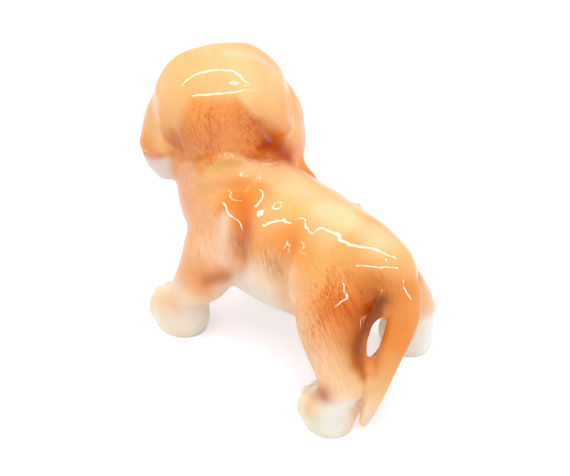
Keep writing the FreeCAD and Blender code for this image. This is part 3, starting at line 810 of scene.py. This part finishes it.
# One piece's share of the skin, closed where it is luted to its neighbours.
def cutOut(name):
    mine = quads[owner == nodeNames.index(name)]
    used = np.unique(mine)
    number = np.full(len(points), -1)
    number[used] = np.arange(len(used))
    bm = bmesh.new()
    made = [bm.verts.new(points[i] * mm) for i in used]
    for quad in number[mine]:
        bm.faces.new([made[i] for i in quad])
    rim = [e for e in bm.edges if e.is_boundary]
    closing = bmesh.ops.holes_fill(bm, edges=rim, sides=0)["faces"]
    bmesh.ops.poke(bm, faces=closing)
    mesh = bpy.data.meshes.new(pieceNames[name])
    bm.to_mesh(mesh)
    bm.free()
    # The middles of the closing faces come last. They are hidden and take the first point's paint.
    source = np.concatenate([used, np.full(len(mesh.vertices) - len(used), used[0])])
    mesh.polygons.foreach_set("use_smooth", [True] * len(mesh.polygons))
    colours = mesh.attributes.new("paint", "FLOAT_COLOR", "POINT")
    colours.data.foreach_set("color", np.column_stack([paint, np.ones(len(paint))])[source].ravel())
    for label, values in amounts.items():
        mesh.attributes.new(label, "FLOAT", "POINT").data.foreach_set("value", values[source])
    facing = normals[source]
    facing[len(used):] = [v.normal for v in mesh.vertices[len(used):]]
    mesh.normals_split_custom_set_from_vertices(facing.tolist())
    mesh.materials.append(bodyGlaze)
    piece = bpy.data.objects.new(pieceNames[name], mesh)
    bpy.context.scene.collection.objects.link(piece)
    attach(piece, "root")
    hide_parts(name)
    print(name, len(mine), "quads,", len(closing), "joints closed")


for name in nodeNames:
    cutOut(name)

# The camera stands behind the figure, on its left. The room around it is pale.
shot = {"azimuth": 138, "height": 35, "reach": 350, "aim": (5.5, 2.37, 38), "lens": 75.8}
room = {"floorSize": 900, "floorTone": (0.8, 0.8, 0.8, 1), "floorSeen": (1.42, 1.48, 1.66, 1),
        "worldLevel": 0.88, "worldSeen": 1.0}
# Thin tubes draw the glaze's fine lines. They run across the camera's view. Each has its place towards
# the camera, its left end and its right end, as shares of the tubes' height.
tubes = {"height": 420, "width": 24, "radiance": 34, "over": 40,
         "far": (-0.12, -1.35, 0.75), "near": (0.68, -1.15, 1.15)}
# The spark is a small light among the tubes, placed in shares of their height too.
spark = {"towards": 0.2, "right": 0.15, "over": 60, "size": 36, "watts": 0.22}
softTop = {"place": (60, 120, 620), "over": 40, "size": 420, "watts": 0.42}

around = math.radians(shot["azimuth"])
lift = math.radians(shot["height"])
towards = Vector((math.sin(around), -math.cos(around), 0))
rightwards = Vector((math.cos(around), math.sin(around), 0))


# 1 where the camera sees a surface, straight, in a reflection or through glass, and 0 where it only lights.
def seenByCamera(tree):
    path = addNode(tree, "ShaderNodeLightPath")
    seen = path.outputs["Is Camera Ray"]
    for ray in ("Is Glossy Ray", "Is Transmission Ray"):
        seen = addNode(tree, "ShaderNodeMath", None, {0: seen, 1: path.outputs[ray]}, operation="ADD",
                       use_clamp=True).outputs["Value"]
    return seen


def whiteFloor():
    bm = bmesh.new()
    bmesh.ops.create_grid(bm, x_segments=1, y_segments=1, size=room["floorSize"] / 2 * mm)
    mesh = bpy.data.meshes.new("paperFloor")
    bm.to_mesh(mesh)
    bm.free()
    floor = bpy.data.objects.new("paperFloor", mesh)
    bpy.context.scene.collection.objects.link(floor)
    # Matt white paper. The camera sees it paler than it lights the figure.
    material = bpy.data.materials.new("mattWhitePaper")
    material.use_nodes = True
    tree = material.node_tree
    tree.nodes.clear()
    tone = addNode(tree, "ShaderNodeMix", {6: room["floorTone"], 7: room["floorSeen"]},
                   {0: seenByCamera(tree)}, data_type="RGBA")
    matt = addNode(tree, "ShaderNodeBsdfDiffuse", None, {"Color": tone.outputs[2]})
    addNode(tree, "ShaderNodeOutputMaterial", None, {"Surface": matt.outputs["BSDF"]})
    mesh.materials.append(material)


def paleRoom():
    world = bpy.data.worlds.new("paleRoom")
    bpy.context.scene.world = world
    world.use_nodes = True
    tree = world.node_tree
    tree.nodes.clear()
    level = addNode(tree, "ShaderNodeMapRange", {"To Min": room["worldLevel"], "To Max": room["worldSeen"]},
                    {"Value": seenByCamera(tree)})
    back = addNode(tree, "ShaderNodeBackground", {"Color": (1, 1, 1, 1)},
                   {"Strength": level.outputs["Result"]})
    addNode(tree, "ShaderNodeOutputWorld", None, {"Surface": back.outputs["Background"]})


def lamp(name, place, aim, size, watts, seenInGlaze=True):
    data = bpy.data.lights.new(name, "AREA")
    data.shape = "RECTANGLE"
    data.size = size[0] * mm
    data.size_y = size[1] * mm
    data.energy = watts
    lampObject = bpy.data.objects.new(name, data)
    lampObject.location = Vector(place) * mm
    lampObject.rotation_euler = (Vector(aim) - Vector(place)).to_track_quat("-Z", "Y").to_euler()
    lampObject.visible_glossy = seenInGlaze
    bpy.context.scene.collection.objects.link(lampObject)
    return lampObject


# A strip light over the figure that runs across the camera's view and shows in the glaze only.
def tube(name, forth, left, right):
    place = (towards * forth + rightwards * (left + right) / 2) * tubes["height"]
    place.z += tubes["height"]
    length = (right - left) * tubes["height"]
    aim = Vector((0, 0, tubes["over"]))
    watts = tubes["radiance"] * length * tubes["width"] * mm * mm * math.pi
    strip = lamp(name, place, aim, (length, tubes["width"]), watts)
    facing = aim - place
    facing = (facing - rightwards * facing.dot(rightwards)).normalized()
    across = (-facing).cross(rightwards)
    strip.rotation_euler = Matrix((rightwards, across, -facing)).transposed().to_euler()
    strip.visible_diffuse = False


whiteFloor()
paleRoom()
tube("farTube", *tubes["far"])
tube("nearTube", *tubes["near"])
# A soft light overhead shows in no reflection, and a small one makes the spark on the crown.
softSize = (softTop["size"], softTop["size"])
lamp("softTop", softTop["place"], (0, 0, softTop["over"]), softSize, softTop["watts"], seenInGlaze=False)
sparkPlace = (towards * spark["towards"] + rightwards * spark["right"] + Vector((0, 0, 1))) * tubes["height"]
lamp("spark", sparkPlace, (0, 0, spark["over"]), (spark["size"], spark["size"]), spark["watts"])
print("room and lights set")

camera = bpy.data.objects.new("camera", bpy.data.cameras.new("camera"))
camera.data.lens = shot["lens"]
outward = towards * math.cos(lift) + Vector((0, 0, math.sin(lift)))
camera.location = (Vector(shot["aim"]) + outward * shot["reach"]) * mm
camera.rotation_euler = (-outward).to_track_quat("-Z", "Y").to_euler()
bpy.context.scene.collection.objects.link(camera)
bpy.context.scene.camera = camera
bpy.context.scene.view_settings.view_transform = "Standard"
print("camera set")
